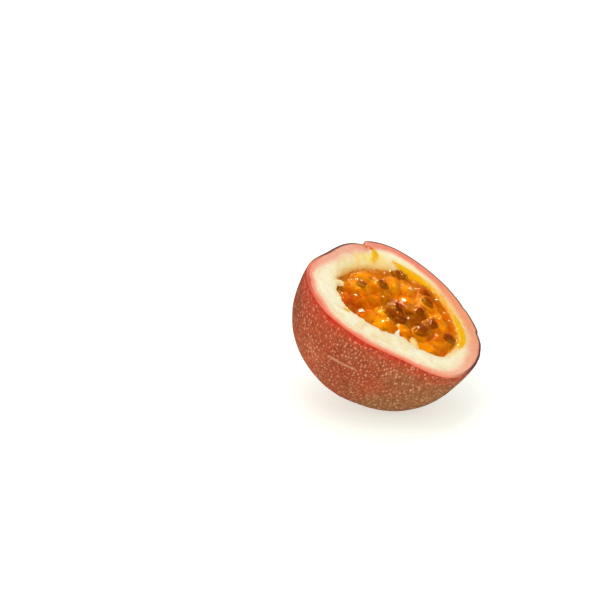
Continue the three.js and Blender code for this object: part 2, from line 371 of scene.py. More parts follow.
def gathered(bodies):
    """Points and faces of several bodies as one mesh."""
    points, faces, first = [], [], 0
    for own_points, own_faces in bodies:
        points.append(own_points)
        faces += [tuple(first + i for i in face) for face in own_faces]
        first += len(own_points)
    return np.vstack(points), faces


# ---- Shader nodes ----


class Look:
    """A material's node tree, built by short calls. Nodes and sockets as values are linked."""

    def __init__(self, name):
        self.material = bpy.data.materials.new(name)
        self.material.use_nodes = True
        self.tree = self.material.node_tree
        self.tree.nodes.clear()
        self.output = self.tree.nodes.new("ShaderNodeOutputMaterial")

    def put(self, socket, value):
        if isinstance(value, bpy.types.Node):
            value = value.outputs[0]
        if isinstance(value, bpy.types.NodeSocket):
            self.tree.links.new(value, socket)
        elif socket.type == "RGBA":
            socket.default_value = (*[float(v) for v in value][:3], 1.0)
        else:
            socket.default_value = value

    def node(self, kind, *values, settings=(), **inputs):
        """A new node. values are for its inputs in their order."""
        node = self.tree.nodes.new("ShaderNode" + kind)
        for key, value in settings:
            setattr(node, key, value)
        for socket, value in zip(node.inputs, values):
            self.put(socket, value)
        for key, value in inputs.items():
            self.put(node.inputs[key.replace("_", " ")], value)
        return node

    def place(self):
        return self.node("TexCoord").outputs["Object"]

    def attribute(self, name, output="Fac"):
        return self.node("Attribute", settings=[("attribute_name", name)]).outputs[output]

    def noise(self, size, detail, place=None, output="Fac"):
        """Noise whose lumps are about size millimetres across."""
        place = place or self.place()
        node = self.node("TexNoise", Vector=place, Scale=1 / (size * MM), Detail=detail)
        return node.outputs[output]

    def math(self, operation, a, b, c=0.0):
        return self.node("Math", a, b, c, settings=[("operation", operation)])

    def product(self, first, *others):
        for other in others:
            first = self.math("MULTIPLY", first, other)
        return first

    def span(self, value, low, high, out_low=0.0, out_high=1.0):
        """A soft step of value from low to high."""
        step = [("interpolation_type", "SMOOTHSTEP")]
        return self.node("MapRange", value, low, high, out_low, out_high, settings=step)

    def blend(self, share, a, b, kind="MIX"):
        node = self.node("Mix", share, settings=[("data_type", "RGBA"), ("blend_type", kind)])
        self.put(node.inputs[6], a)
        self.put(node.inputs[7], b)
        return node.outputs[2]

    def times(self, colour, factor):
        return self.blend(1.0, colour, factor, "MULTIPLY")

    def bump(self, *reliefs):
        """Relief over relief: heights of 0 to 1, each with the millimetres that 1 stands for."""
        below = {}
        for height, depth in reliefs:
            node = self.node("Bump", Height=height, Strength=1.0, Distance=depth * MM, **below)
            below = {"Normal": node}
        return node

    def finish(self, surface, volume=None):
        self.put(self.output.inputs["Surface"], surface)
        if volume is not None:
            self.put(self.output.inputs["Volume"], volume)
        return self.material


def specks(look, place, spacing, least, most, share, dimensions="3D"):
    """Round spots in some of the cells of the given spacing: 0 outside, and up to 1 inside.
    least and most are their radii, as shares of the spacing. share is how many cells have one."""
    cells = look.node(
        "TexVoronoi", settings=[("voronoi_dimensions", dimensions)],
        Vector=place, Scale=1 / (spacing * MM), Randomness=0.95,
    )
    chance = look.node("SeparateColor", cells.outputs["Color"]).outputs
    radius = look.math("MULTIPLY_ADD", chance[0], most - least, least)
    edge = look.math("SUBTRACT", cells.outputs["Distance"], radius)
    strength = look.span(chance[1], 1 - share - 0.2, 1 - share + 0.2)
    return look.product(look.span(edge, -0.10, 0.08, 1.0, 0.0), strength)


SPECK_STRAY = 0.35  # millimetres by which the specks lose their round outline


def skin_look():
    look = Look("skin")
    tint = look.attribute("tint", "Color")
    crimson = look.attribute("crimson")
    grain = look.noise(1.3, 3)
    cloud = look.noise(0.45, 2)
    colour = look.blend(look.span(grain, 0.3, 0.7), tint, look.times(tint, (0.72, 0.66, 0.62)))
    colour = look.blend(look.span(cloud, 0.55, 0.8, 0, 0.3), colour, linear(214, 128, 92))
    place = look.attribute("unrolled", "Vector")
    wobble = look.noise(0.7, 1.0, place, "Color")
    stray = (SPECK_STRAY * MM, SPECK_STRAY * MM, 0)
    place = look.node("VectorMath", wobble, stray, place, settings=[("operation", "MULTIPLY_ADD")])
    large = specks(look, place, 1.30, 0.16, 0.34, 0.72, "2D")
    small = specks(look, place, 0.85, 0.08, 0.28, 0.5, "2D")
    crowded = look.span(look.noise(5.0, 2), 0.35, 0.65, 0.55, 1.0)
    shown = look.math("MAXIMUM", look.product(large, 0.7), look.product(small, 0.4))
    shown = look.product(shown, crowded)
    shown = look.product(shown, look.math("MULTIPLY_ADD", crimson, -0.8, 1.0))
    colour = look.blend(shown, colour, look.attribute("speck", "Color"))
    scratch = look.attribute("scratch")
    colour = look.blend(look.product(scratch, 0.7), colour, linear(216, 158, 122))
    return look.finish(look.node(
        "BsdfPrincipled", Base_Color=colour, Roughness=look.span(grain, 0.2, 0.8, 0.44, 0.56),
        Normal=look.bump((shown, 0.025), (grain, 0.06), (look.noise(0.25, 1), 0.012)),
        IOR=1.45, Specular_IOR_Level=0.12,
    ))


def flesh_look():
    look = Look("flesh")
    tint = look.attribute("tint", "Color")
    wet = look.attribute("wet")
    fibres = look.noise(0.9, 4)
    pores = look.noise(0.28, 1)
    spots = look.noise(2.4, 2)
    cooler = look.times(tint, (0.95, 0.93, 0.86))
    pinker = look.times(tint, (0.97, 0.87, 0.80))
    colour = look.blend(look.span(fibres, 0.40, 0.65), tint, cooler)
    colour = look.blend(look.span(spots, 0.50, 0.75, 0.0, 0.6), colour, pinker)
    return look.finish(look.node(
        "BsdfPrincipled", Base_Color=colour, Normal=look.bump((fibres, 0.14), (pores, 0.03)),
        Roughness=look.math("MULTIPLY_ADD", wet, -0.38, 0.55), IOR=1.40, Specular_IOR_Level=0.35,
        Subsurface_Weight=0.25, Subsurface_Radius=(1.0, 0.55, 0.3), Subsurface_Scale=1.2 * MM,
    ))


def jelly_look():
    """Clear jelly, which lets the light of the lamps through to what lies in it."""
    look = Look("jelly")
    body = look.node(
        "BsdfPrincipled", Base_Color=look.attribute("tint", "Color"),
        Normal=look.bump((look.noise(1.2, 2), 0.10)), Roughness=0.06, IOR=1.38,
        Transmission_Weight=0.85, Specular_Tint=(1.0, 0.66, 0.08), Specular_IOR_Level=0.36,
    )
    let_through = look.node("BsdfTransparent", look.attribute("shade", "Color"))
    shadow = look.node("LightPath").outputs["Is Shadow Ray"]
    both = look.node("MixShader", shadow, body, let_through)
    absorb = look.node("VolumeAbsorption", Color=(1.0, 0.92, 0.12), Density=480.0)
    return look.finish(both, absorb)


def core_look():
    look = Look("pulp_core")
    tint = look.attribute("tint", "Color")
    threads = look.noise(1.2, 3)
    dark = look.times(tint, (0.92, 0.78, 0.60))
    colour = look.blend(look.span(threads, 0.40, 0.70), tint, dark)
    return look.finish(look.node(
        "BsdfPrincipled", Base_Color=colour, Normal=look.bump((threads, 0.2)), Roughness=0.4,
        IOR=1.36, Specular_Tint=(1.0, 0.62, 0.16),
    ))


def seed_look():
    look = Look("seed")
    pits = specks(look, look.place(), 0.42, 0.25, 0.5, 0.9)
    colour = look.blend(look.noise(1.1, 2), linear(104, 28, 14), linear(178, 60, 24))
    # painted shade: the seed darker in its pits
    colour = look.blend(look.product(pits, 0.5), colour, linear(56, 18, 10))
    return look.finish(look.node(
        "BsdfPrincipled", Base_Color=colour, Roughness=0.28, IOR=1.5,
        Normal=look.bump((pits, -0.05)),
    ))


def juice_look():
    look = Look("juice")
    body = look.node(
        "BsdfPrincipled", Base_Color=linear(246, 180, 4), Roughness=0.10, IOR=1.34,
        Normal=look.bump((look.noise(1.8, 1), 0.05)), Specular_Tint=(1.0, 0.8, 0.3),
    )
    clear = look.node("BsdfTransparent")
    return look.finish(look.node("MixShader", look.attribute("deep"), clear, body))


# ---- The rind ----

SECTORS = 360
SKIN_ROWS = 104
LIP_ROWS = 5
LIP = 0.35  # radius of the rounding between skin and cut
SKIN_LENGTH = 45.0  # from the end of the fruit to the cut, along the skin
CUT_ROWS = 30
HOLLOW_ROWS = 46
HOLLOW_CROWDING = 1.6  # rows lie closer together near the hollow's edge
FURROW_DEPTH = 0.4  # of the furrowed inner part of the cut, on the near side

# Width of the pink flesh under the skin, every 30 degrees.
PINK_WIDTHS = [4.0, 4.6, 4.8, 4.2, 4.0, 4.4, 4.2, 3.2, 2.9, 2.7, 2.7, 2.9]
# The pink's tint at some sides: colour, angle, spread and strength.
PINK_SIDES = [
    ((236, 168, 138), 15, 55, 1.0), ((242, 180, 156), 175, 40, 1.0),
    ((246, 132, 112), 95, 32, 0.9), ((248, 158, 112), 55, 36, 0.9),
    ((252, 156, 120), -80, 75, 1.0), ((250, 186, 152), -16, 26, 0.9),
]
SERRATED = (46, 22)  # angle and spread of the small teeth in the rim
TOOTH_DEPTH = 0.8
TOOTH_WIDTH = 1.2
TOOTH_FALL = 1.6  # how far down the skin they run out
# A scratch in the skin: the angle and fall of places on it.
SCRATCH = [(-98.8, 69.8), (-94.5, 70.0), (-90.9, 70.3), (-82.4, 71.8)]


def skin_relief(points):
    """How far the skin stands out or sinks in, in millimetres."""
    large = 0.13 * lumps(points, 9.0, 1) + 0.05 * lumps(points, 2.6, 2)
    return large + 0.015 * lumps(points, 0.9, 3)


def rind_rings():
    """The rows of the rind from the end of the fruit to the bottom of the hollow."""
    angles = all_round(SECTORS)
    lip_fall = math.degrees(math.acos(LIP / DOME_DEPTH))
    falls = lip_fall * np.arange(SKIN_ROWS + 1) / SKIN_ROWS
    angle, fall = np.meshgrid(angles, falls)
    skin = skin_point(angle, fall)
    away = skin / np.linalg.norm(skin, axis=-1, keepdims=True)
    teeth = near(angle, *SERRATED) * np.exp(skin[..., 2] / TOOTH_FALL)
    notch = np.maximum(0, lumps(at(np.radians(angle) * 26, 0.0), TOOTH_WIDTH, 4)) * teeth
    skin = skin + away * (skin_relief(skin) - TOOTH_DEPTH * notch)[..., None]
    rim = skin[-1]
    outer = np.hypot(rim[:, 0], rim[:, 1])
    flat = at(rim[:, 0] / outer, rim[:, 1] / outer)
    lip = []
    for turn in np.radians(90 * np.arange(1, LIP_ROWS + 1) / LIP_ROWS):
        lip.append(rim - flat * LIP * (1 - math.cos(turn)) + np.array([0, 0, LIP * math.sin(turn)]))
    lip = np.array(lip)
    edge = outline(HOLLOW_RADII, angles)
    cut = []
    for share in np.arange(1, CUT_ROWS + 1) / CUT_ROWS:
        radius = (outer - LIP) * (1 - share) + edge * share
        height = cut_height(angles, outer - radius) - EDGE_ROUND * share**4
        cut.append(at(flat[:, 0] * radius, flat[:, 1] * radius, height))
    lip[-1, :, 2] = cut_height(angles, LIP)
    falls = 90 * (1 - (np.arange(1, HOLLOW_ROWS + 1) / HOLLOW_ROWS) ** HOLLOW_CROWDING)
    hollow = hollow_point(*np.meshgrid(angles, falls))
    return skin, lip, np.array(cut), hollow


def rough_rows():
    """The rows of the skin, the lip and the flesh, with the relief of the flesh."""
    skin, lip, cut, hollow = rind_rings()
    inner = np.concatenate([cut, hollow])
    rough = 0.12 * lumps(inner, 1.8, 5) + 0.06 * lumps(inner, 0.8, 6)
    angle = all_round(SECTORS)
    inside = np.concatenate([np.arange(1, CUT_ROWS + 1) / CUT_ROWS, np.ones(HOLLOW_ROWS)])[:, None]
    rough = rough - FURROW_DEPTH * smooth(inside, 0.35, 0.6) * near(angle, -75, 60) * (inside < 1)
    at_edge = smooth(inside, 0.75, 1.0) * (1 - smooth(-inner[..., 2], 1.0, 2.6))
    torn = patches(inner * np.array([1, 1, 0.3]), 1.1, 7, 0.0, 0.8)
    torn = torn * (0.3 + 0.5 * near(angle, -75, 70))
    radius = np.hypot(inner[..., 0], inner[..., 1]).clip(1)
    inner[..., :2] *= (1 - at_edge * torn / radius)[..., None]
    calm = np.concatenate([smooth(np.arange(CUT_ROWS) / CUT_ROWS, 0, 0.3), np.ones(HOLLOW_ROWS)])
    inner[..., 2] += rough * calm[:, None]
    return skin, lip, inner


def rind_piece(skin, lip, inner, skin_material, flesh_material):
    rings = np.concatenate([skin, lip, inner])
    angles = np.broadcast_to(all_round(SECTORS), rings.shape[:2])
    first_flesh = len(skin) + LIP_ROWS // 2
    rows = np.arange(len(rings))[:, None]
    layers = rind_paint(rings, angles, rows < first_flesh)
    points, faces = closed_rings(above_table(rings))
    slots = [int((max(face) - 1) // SECTORS + 1 >= first_flesh) for face in faces]
    layers = {name: row_values(values) for name, values in layers.items()}
    piece = mesh_object("rind", points, faces, [skin_material, flesh_material], slots, **layers)
    from_end = np.minimum(rows / SKIN_ROWS, 1) * SKIN_LENGTH
    unrolled = row_values(circled(from_end, angles)) * MM
    layer = piece.data.attributes.new("unrolled", "FLOAT_VECTOR", "POINT")
    layer.data.foreach_set("vector", unrolled.astype(np.float32).ravel())
    return piece


# Where juice has run over the pith: places on the cut, and the width of the mark there.
JUICE_MARKS = [
    [(-21.5, 15.0, 0.5), (-19.9, 15.3, 0.6), (-18.3, 15.7, 0.7), (-16.5, 16.1, 0.8)],
    [(-16.0, 16.3, 1.1), (-15.2, 14.7, 1.3), (-14.6, 13.2, 1.2)],
    [
        (-10.2, 18.2, 0.5), (-8.0, 18.7, 0.9), (-5.5, 19.1, 1.5),
        (-2.2, 19.2, 2.1), (0.8, 19.0, 1.8), (3.5, 19.0, 1.0),
    ],
    [
        (12.8, 14.8, 0.6), (15.2, 12.6, 1.1), (17.3, 10.2, 1.6),
        (19.2, 6.8, 1.7), (20.0, 4.2, 1.2), (20.4, 2.0, 0.7),
    ],
    [(-8.6, -17.6, 0.8), (-7.7, -17.2, 0.8)],
]
# The first runs down the tear and is darker. The others are yellow, and are films as well.
MARK_COLOURS = [(222, 112, 30)] + (len(JUICE_MARKS) - 1) * [(246, 190, 20)]


def beside(points, a, b):
    """The distance of points from the line between a and b, and the share of it they are along."""
    along = np.clip(((points - a) @ (b - a)) / ((b - a) @ (b - a)), 0, 1)
    return np.linalg.norm(points - a - along[..., None] * (b - a), axis=-1), along


def mark_strength(points, mark):
    """1 inside a mark drawn through places with widths, 0 outside it."""
    strength = 0
    for a, b in itertools.pairwise(np.array(mark)):
        away, along = beside(points, a[:2], b[:2])
        width = a[2] + (b[2] - a[2]) * along
        strength = np.maximum(strength, 1 - smooth(away / width, 0.35, 1.25))
    return strength


def rind_paint(rings, angle, on_skin):
    """Colours and finishes of the rind, for every point of its rows."""
    skin, crimson, speck = skin_paint(rings, angle)
    tint, wet = flesh_paint(rings, angle)
    uneven = rings[..., :2] + 0.3 * at(lumps(rings, 1.2, 18), lumps(rings, 1.2, 19))[..., :2]
    for mark, colour in zip(JUICE_MARKS, MARK_COLOURS):
        strength = mark_strength(uneven, mark) * (rings[..., 2] > -3)
        tint = mix(tint, linear(*colour), strength * 0.92)
        wet = np.maximum(wet, strength)
    tint = np.where(on_skin[..., None], skin, tint)
    scratch = scratch_paint(rings) * on_skin
    return {"tint": tint, "wet": wet, "crimson": crimson, "speck": speck, "scratch": scratch}


def far_rim(angle):
    """1 at the sides where the rim is thin and dark, 0 where it is broad and red."""
    return smooth(np.abs(between(angle, -90)), 58, 88)


def skin_paint(rings, angle):
    """Colours of the skin and its specks, and how crimson it is under the rim."""
    down = -rings[..., 2]
    broad = lumps(rings, 11, 11)
    middle = lumps(rings, 4, 12)
    warm = near(angle, -125, 45) * smooth(down, 6, 20) + 0.3 * broad
    olive = 1.2 * near(angle, -24, 32) * smooth(down, 0.8, 5)
    olive = np.clip(olive + near(angle, -40, 35) * smooth(down, 10, 22) + 0.3 * middle, 0, 1)
    front = 1 - smooth(np.abs(between(angle, -90)), 70, 110)
    below = down + 0.5 * lumps(rings, 2.2, 13) + 0.5 * lumps(rings, 0.8, 14)
    band = 1.15 * near(angle, -125, 50) + 0.75 * near(angle, -60, 45)
    crimson = (1 - smooth(below / np.maximum(band, 0.05), 0.35, 1.15)) * smooth(band, 0.3, 1.2)
    reddened = (1 - smooth(down + 1.2 * middle, 1.0, 6.0)) * near(angle, -105, 62)
    dark_edge = (1 - smooth(down, 0.2, 0.9)) * far_rim(angle)
    torn_edge = (1 - smooth(down, 0.4, 1.6)) * near(angle, TEAR_ANGLE, 1.2)
    tint = coated(
        linear(146, 60, 34),
        ((180, 76, 42), front),
        ((200, 98, 54), np.clip(warm, 0, 1) * 0.8),
        ((158, 104, 62), olive * 0.9),
        ((144, 66, 38), np.clip(-broad, 0, 1) * 0.5),
        ((206, 78, 44), reddened * 0.8),
        ((208, 54, 28), crimson),
        ((96, 40, 42), dark_edge * 0.9 * (1 - near(angle, TEAR_ANGLE, 3))),
        ((214, 130, 84), torn_edge),
    )
    return tint, crimson, coated(linear(242, 160, 130), ((228, 168, 124), olive))


def flesh_paint(rings, angle):
    """Colours of the pink flesh and the white pith, and how wet they are."""
    down = -rings[..., 2]
    radius = np.hypot(rings[..., 0], rings[..., 1])
    outer = radius[SKIN_ROWS + LIP_ROWS]

    from_rim = 0.5 * lumps(rings, 3.5, 15) + 0.15 * lumps(rings, 0.9, 16)
    from_rim = outer - radius + from_rim * smooth(outer - radius, 0, 1)
    width = outline(PINK_WIDTHS, angle)
    pink = 1 - smooth(from_rim / width, 0.45 - 0.25 * near(angle, -90, 70), 1.15)
    outermost = (1 - smooth(from_rim, 0.0, 0.9)) * (0.3 + 0.5 * near(angle, -95, 75))
    pink_colour = coated(
        linear(246, 134, 108),
        *((colour, near(angle, side, spread) * most) for colour, side, spread, most in PINK_SIDES),
        ((236, 104, 72), outermost),
        ((204, 70, 48), (1 - smooth(from_rim, 0.1, 0.8)) * near(angle, -138, 13)),
    )

    to_hollow = radius - outline(HOLLOW_RADII, angle)
    lining = 1 - smooth(to_hollow + 0.5 * lumps(rings, 1.8, 17), -0.2, 1.8)
    far_side = near(angle, 48, 38)
    yellowed = 1 - smooth(to_hollow + 0.8 * lumps(rings, 1.6, 21), 0.3, 2.2)
    washed = patches(rings, 3.0, 24, -0.6, 0.4) * near(angle, 142, 36)
    washed = washed * (1 - smooth(to_hollow, 0.0, 3.4))
    sunlit = (1 - smooth(to_hollow + 0.6 * lumps(rings, 1.4, 25), -0.6, 1.4)) * near(angle, 8, 20)
    past_pink = smooth(from_rim, 2, 3.5)
    mottled = patches(rings * np.array([1, 1, 0.2]), 2.6, 20, 0.0, 0.7) * near(angle, -80, 60)
    blushed = patches(rings, 1.7, 22, 0.15, 0.7) * near(angle, -70, 70)
    below_cut = down + 0.5 * lumps(rings, 2.0, 23)
    deep = smooth(below_cut, 0.6, 2.4)
    stained = 1 - smooth(to_hollow + 0.4 * lumps(rings, 1.6, 21), 0.0, 1.3)
    pith = coated(
        linear(255, 245, 214),
        ((255, 246, 210), near(angle, 130, 60)),
        ((250, 232, 180), lining * 0.6),
        ((248, 208, 132), far_side * 0.9),
        ((250, 196, 60), yellowed * far_side),
        ((255, 222, 122), washed * 0.8),
        ((255, 206, 110), sunlit * 0.9),
        ((244, 222, 158), mottled * past_pink * 0.6),
        ((252, 214, 178), blushed * past_pink * 0.6),
        # Below the cut the wall takes the yellow-orange stain of the juice. These colours are also
        # painted light: they are kept light to lift the shade deep in the hollow.
        ((255, 226, 146), deep * 0.8),
        ((255, 216, 116), smooth(below_cut, 1.8, 3.0) * 0.9),
        ((255, 226, 130), smooth(down, 3.2, 4.4)),
        ((246, 178, 12), stained * near(angle, 50, 42) * 0.95),
    )

    vein = np.exp(-(((from_rim - width * 1.05) / 0.3) ** 2)) * near(angle, -90, 75)
    dark_skin = (1 - smooth(outer - radius, 0.2, 0.55)) * far_rim(angle) * (down < 2)
    tint = coated(
        mix(pith, pink_colour, pink),
        ((236, 206, 150), vein * 0.6),
        ((104, 44, 52), dark_skin * (1 - near(angle, TEAR_ANGLE, 3))),
    )
    return tint, np.clip(0.35 * lining + 0.5 * deep, 0, 1)


def scratch_paint(points):
    """1 on the scratch in the skin, and 0 beside it."""
    shown = 0
    line = skin_point(*np.array(SCRATCH).T)
    for a, b in itertools.pairwise(line):
        away, _ = beside(points, a, b)
        shown = np.maximum(shown, 1 - smooth(away, 0.15, 0.5))
    return shown


# ---- Where the sacs and seeds lie ----


def lay_out_sacs():
    """Rows of x, y, turn, dip, size, top, and whether the seed lies on top."""
    draw = drawer(FIRST_STATE)
    sacs = [sac_at(x, y, turn, True, draw) for x, y, turn, _ in TOP_SEEDS]
    sacs += [(x, y, turn, 0, size, top, False) for x, y, turn, size, top in SHOWN_SACS]
    for _ in range(SAC_TRIES):
        angle = 360 * draw()
        radius = PULP_REACH * math.sqrt(draw())
        x, y, _ = circled(radius, angle)
        wall = float(outline(HOLLOW_RADII, angle) - shoulder_width(angle))
        free = all(math.hypot(sac[0] - x, sac[1] - y) > SAC_SPACING for sac in sacs)
        if radius < wall - WALL_ROOM and free:
            turn = angle + SAC_STRAY * (2 * draw() - 1)
            sacs.append(sac_at(x, y, turn, False, draw))
    return sacs


def sac_at(x, y, turn, seed_on_top, draw):
    size = SAC_SIZES[0] + (SAC_SIZES[1] - SAC_SIZES[0]) * draw()
    dip = SAC_DIP * (2 * draw() - 1)
    sunk = SEED_TOP_SHARE * draw() if seed_on_top else draw()
    top = SAC_TOP[0] + (SAC_TOP[1] - SAC_TOP[0]) * sunk
    return x, y, turn, dip, size, top, seed_on_top


# ---- The pulp ----

PULP_SECTORS = 420
PULP_ROWS = 140
ROW_CROWDING = 0.85  # below 1, rows lie closer together towards the edge
WAVE_HEIGHT = 0.35  # of the jelly between the sacs
WAVE_LENGTHS = (2.3, 2.7)
DOME_STEEPNESS = 1.6
BLEND = 0.28  # rounding of the creases between sacs
CREASE_REACH = 0.6
SEED_COAT = (0.18, 0.12)  # jelly over a seed that shows, sideways and upwards
EDGE_SOFTNESS = (1.3, 0.6)  # width of the jelly's rounded edge, in general and on the bank
EDGE_SHARE = 0.6  # where the jelly ends, as a share of the width of the pith's slope
INTO_WALL = 0.6  # how far the jelly runs into the wall at most
JELLY_DEPTH = 6.2
CORE_COVER = 0.9  # clear jelly over the clouded pulp
CORE_EDGE = -4.6
CORE_ROWS = 80
CORE_GAP = 0.12
SEED_SHARE = 0.74  # the dark seed, of the seed with its own coat of jelly
SEED_DIP = 2.5  # how much more the seeds slope than their sacs
HIDDEN_SINK = 2.4  # how far the other seeds are sunk in their jelly

# Where the pulp is redder, and where seeds close below make it browner, on the cut.
RED_PLACES = [(-11.5, -9.0), (-9.2, -11.5), (-6.5, -12.5)]
BROWN_PLACES = [(0.5, -1.0), (5.0, 3.0), (9.6, 2.0), (-1.0, 3.5), (2.5, -3.5), (7.0, 6.5)]
BROWN_REACH = 3.2

# Fine folds of skin and fibre over the sacs: how many, how far they turn from pointing out,
# and the least and the spread of their length, width and height.
STRANDS = 340
STRAND_STATE = 7
STRAND_TURN = 55
STRAND_BEND = 0.25
STRAND_SIZES = [(0.8, 1.8), (0.24, 0.30), (0.10, 0.24)]


def wall_line(angle, lowest=20):
    """Heights of the hollow's wall, rising, and its radius at each of them."""
    wall = hollow_point(angle, np.arange(2 * lowest, 181) / 2)
    return wall[:, 2], np.hypot(wall[:, 0], wall[:, 1])


def wall_height(angles, radius):
    """Height of the hollow's wall at each radius. angles has one entry per column of radius."""
    height = np.empty_like(radius)
    for column, angle in enumerate(angles):
        level, reach = wall_line(angle, 30)
        height[:, column] = np.interp(radius[:, column], reach, level)
    return height


def dome_top(x, y, sac_x, sac_y, turn, dip, half, top):
    """Height of the upper side of an ellipsoid, falling away steeply outside it."""
    along, across = seen_from(sac_x, sac_y, turn, x, y)
    left = 1 - (along / half[0]) ** 2 - (across / half[1]) ** 2
    rise = np.where(left > 0, np.sqrt(np.maximum(left, 0)), DOME_STEEPNESS * left)
    return -top - half[2] + half[2] * rise - along * math.tan(math.radians(dip))


def joined(heights, blend):
    """The highest of several surfaces, with the creases between them rounded."""
    stack = np.array(heights)
    most = stack.max(0)
    return most + blend * np.log(np.exp((stack - most) / blend).sum(0))


def on_bank(x, y):
    """1 towards the side where the jelly climbs the wall, 0 on the others."""
    return near(angle_at(x, y), BANK_ANGLE, BANK_SPREAD)


def jelly_height(x, y, sacs, lower=0.0, narrow=1.0, with_seeds=True, blend=BLEND):
    """Height of the pulp's top, which can be made lower, with narrower sacs."""
    waves = WAVE_HEIGHT * np.sin(x / WAVE_LENGTHS[0] + 1) * np.cos(y / WAVE_LENGTHS[1])
    bank = BANK_HEIGHT * on_bank(x, y) * smooth(np.hypot(x, y), BANK_FOOT, BANK_CREST)
    heights = [waves - PULP_LEVEL - lower + bank]
    for number, (sx, sy, turn, dip, size, top, seed_on_top) in enumerate(sacs):
        half = SAC * size / 2 * np.array([narrow, narrow, 1])
        heights.append(dome_top(x, y, sx, sy, turn, dip, half, top + lower))
        if seed_on_top and with_seeds:
            half = SEED * size / 2 + SEED_COAT[0]
            top = top - SEED_SHOWS - SEED_COAT[1] + min(0, TOP_SEEDS[number][3])
            heights.append(dome_top(x, y, sx, sy, turn, dip, half, top))
    return joined(heights, blend)


def warped(x, y):
    """Places shifted a little, so that the sacs' outlines aren't even."""
    flat = at(x, y)
    aside_x = 0.5 * lumps(flat, 2.2, 31) + 0.22 * lumps(flat, 1.0, 37)
    aside_y = 0.5 * lumps(flat, 2.2, 32) + 0.22 * lumps(flat, 1.0, 38)
    return x + aside_x, y + aside_y


def creases(x, y, sacs):
    """1 in the folds between sacs, and 0 on top of them: where the pulp is darkened as painted
    shade.
    """
    x, y = warped(x, y)
    sharp = jelly_height(x, y, sacs, with_seeds=False)
    filled = jelly_height(x, y, sacs, with_seeds=False, blend=CREASE_REACH)
    return np.clip((filled - sharp) / (0.7 * CREASE_REACH), 0, 1)


def strands(x, y):
    """Height of the fine folds of skin and fibre that lie over the sacs."""
    draw = drawer(STRAND_STATE)
    height = np.zeros_like(x)
    for _ in range(STRANDS):
        angle = 360 * draw()
        radius = PULP_REACH * math.sqrt(draw())
        turn = angle + STRAND_TURN * (2 * draw() - 1)
        length, width, rise = (least + spread * draw() for least, spread in STRAND_SIZES)
        bend = STRAND_BEND * (2 * draw() - 1)
        along, across = seen_from(*circled(radius, angle)[:2], turn, x, y)
        across = across + bend * along**2
        height += rise * np.exp(-((along / length) ** 2) - (across / width) ** 2)
    return height


def jelly_piece(sacs, material):
    """The clear jelly round the seeds, from its wet top down into the clouded pulp."""
    angles = all_round(PULP_SECTORS)
    reach = outline(HOLLOW_RADII, angles) + 0.15
    radius = (np.linspace(0, 1, PULP_ROWS + 1) ** ROW_CROWDING)[:, None] * reach
    x, y = radius * np.cos(np.radians(angles)), radius * np.sin(np.radians(angles))
    height = jelly_height(*warped(x, y), sacs) + strands(x, y) + 0.06 * lumps(at(x, y), 1.0, 34)
    wall = wall_height(angles, radius)
    clear = height - wall
    edge = radius[-1] - EDGE_SHARE * shoulder_width(angles) - radius
    banked = near(angles, BANK_ANGLE, BANK_SPREAD)
    softness = EDGE_SOFTNESS[0] * (1 - banked) + EDGE_SOFTNESS[1] * banked
    rounded = wall + clear * np.sqrt(1 - (1 - np.clip(edge / softness, 0, 1)) ** 2)
    height = np.where(clear < 0, wall + INTO_WALL * np.tanh(clear / INTO_WALL), rounded)
    height[-1] = wall[-1] - 0.5
    bottom = []
    for share in (0.25, 0.5, 0.75, 1.0):
        lower = wall[-1] - INTO_WALL - JELLY_DEPTH * share
        reach = np.array([np.interp(z, *wall_line(angle)) for angle, z in zip(angles, lower)])
        bottom.append(circled(reach + 0.1, angles, lower))
    for share in (0.66, 0.33, 0.0):
        bottom.append(bottom[3] * np.array([share, share, 1]))
    points, faces = closed_rings(np.concatenate([at(x, y, height), np.array(bottom)])[::-1])

    def of_top(values):
        rest = np.zeros((len(bottom), PULP_SECTORS))
        return row_values(np.concatenate([values, rest])[::-1])

    x, y = points[:, 0], points[:, 1]
    # Where the jelly is thin it takes the colour of the pith that shows through it. The band is
    # wider off the bank, and that extra width is painted light that lifts the shade at the jelly's
    # edge.
    thin = of_top(1 - smooth(height - wall, 0.2, 2.6 - 1.2 * banked))
    thin_tint = coated(linear(255, 232, 150), ((255, 190, 16), on_bank(x, y)))
    tint = coated(
        linear(253, 206, 8),
        ((246, 174, 0), patches(points, 3.0, 35, -0.4, 0.5)),
        ((226, 108, 8), near_places(points, RED_PLACES, 3.4) * 0.6),
        ((196, 120, 14), near_places(points, BROWN_PLACES, BROWN_REACH) * 0.7),
        # painted shade: the pulp darkened in the folds between sacs
        ((188, 100, 4), creases(x, y, sacs) * 0.85),
        ((255, 216, 60), smooth(strands(x, y), 0.10, 0.35) * 0.7),
    )
    tint = coated(
        mix(tint, thin_tint, thin * 0.9),
        # painted light: the jelly's edge towards the far left made lighter, to lift the shade there
        ((255, 226, 120), of_top(1 - smooth(edge, 0.0, 2.4)) * near(angle_at(x, y), 168, 34) * 0.9),
        ((190, 96, 20), over_seeds(x, y, sacs) * 0.7),
    )
    shade = coated(linear(255, 226, 140), ((255, 250, 225), thin))
    return mesh_object("jelly", points, faces, [material], tint=tint, shade=shade)


def over_seeds(x, y, sacs):
    """1 over the seeds that lie at the top, and 0 beside them."""
    covered = 0
    for sx, sy, turn, _, size, _, seed_on_top in sacs:
        if seed_on_top:
            along, across = seen_from(sx, sy, turn, x, y)
            away = np.hypot(along / SEED[0], across / SEED[1]) * 2 / (size * SEED_SHARE)
            covered = np.maximum(covered, 1 - smooth(away, 0.75, 1.15))
    return covered


